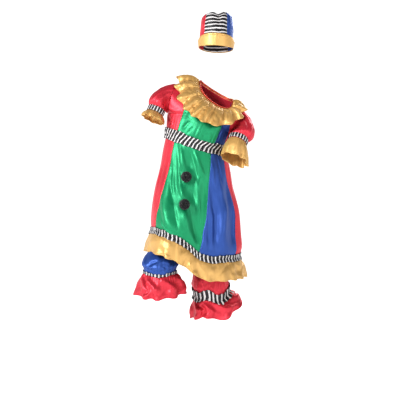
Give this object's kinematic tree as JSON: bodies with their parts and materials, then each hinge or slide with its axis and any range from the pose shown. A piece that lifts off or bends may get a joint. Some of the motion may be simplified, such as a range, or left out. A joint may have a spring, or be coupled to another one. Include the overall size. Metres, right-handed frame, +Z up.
{
  "type": "clown costume",
  "caption": "Worn clown costume: short-sleeved panelled dress with a wide gathered collar, striped bands and ruffled hem, knee-length bloomers with leg ruffles, and a small soft hat.",
  "frame": {"origin": "middle of the neck opening, where the wearer's neck and shoulders hold the dress", "axes": "+Z up, the front faces -Y, the wearer's right side is at -X"},
  "size_m": [0.581, 0.4729, 1.4906],
  "materials": {
    "bloomers_back_left": "glossy red satin",
    "bloomers_back_right": "glossy blue satin",
    "bloomers_front_left": "glossy red satin",
    "bloomers_front_right": "glossy blue satin",
    "bodice_back": "glossy red satin",
    "bodice_blue": "glossy blue satin",
    "bodice_green": "glossy green satin",
    "bodice_side_left": "glossy red satin",
    "bodice_side_right": "glossy red satin",
    "chest_band": "black and white striped satin",
    "collar": "glossy gold satin",
    "hat_back": "black and white striped satin",
    "hat_brim": "glossy gold satin",
    "hat_front": "black and white striped satin",
    "hat_side_left": "glossy blue satin",
    "hat_side_right": "glossy red satin",
    "hat_top": "black and white striped satin",
    "hem_band": "black and white striped satin",
    "hem_ruffle": "glossy gold satin",
    "leg_band_left": "black and white striped satin",
    "leg_band_right": "black and white striped satin",
    "leg_ruffle_left": "glossy red satin",
    "leg_ruffle_right": "glossy red satin",
    "neck_binding": "glossy red-brown satin",
    "pompom_lower": "matt yarn tufts",
    "pompom_upper": "matt yarn tufts",
    "skirt_back": "glossy red satin",
    "skirt_blue": "glossy blue satin",
    "skirt_green": "glossy green satin",
    "skirt_side_left": "glossy red satin",
    "skirt_side_right": "glossy red satin",
    "sleeve_band_left": "black and white striped satin",
    "sleeve_band_right": "black and white striped satin",
    "sleeve_left": "glossy red satin",
    "sleeve_right": "glossy red satin",
    "sleeve_ruffle_left": "glossy gold satin",
    "sleeve_ruffle_right": "glossy gold satin"
  },
  "bodies": {
    "root": {"bloomers_back_left": "bloomers_back_left", "bloomers_back_right": "bloomers_back_right", "bloomers_front_left": "bloomers_front_left", "bloomers_front_right": "bloomers_front_right", "bodice_back": "bodice_back", "bodice_blue": "bodice_blue", "bodice_green": "bodice_green", "bodice_side_left": "bodice_side_left", "bodice_side_right": "bodice_side_right", "chest_band": "chest_band", "collar": "collar", "hat_back": "hat_back", "hat_brim": "hat_brim", "hat_front": "hat_front", "hat_side_left": "hat_side_left", "hat_side_right": "hat_side_right", "hat_top": "hat_top", "hem_band": "hem_band", "hem_ruffle": "hem_ruffle", "leg_band_left": "leg_band_left", "leg_band_right": "leg_band_right", "leg_ruffle_left": "leg_ruffle_left", "leg_ruffle_right": "leg_ruffle_right", "neck_binding": "neck_binding", "pompom_lower": "pompom_lower", "pompom_upper": "pompom_upper", "skirt_back": "skirt_back", "skirt_blue": "skirt_blue", "skirt_green": "skirt_green", "skirt_side_left": "skirt_side_left", "skirt_side_right": "skirt_side_right", "sleeve_band_left": "sleeve_band_left", "sleeve_band_right": "sleeve_band_right", "sleeve_left": "sleeve_left", "sleeve_right": "sleeve_right", "sleeve_ruffle_left": "sleeve_ruffle_left", "sleeve_ruffle_right": "sleeve_ruffle_right"}
  },
  "joints": []
}
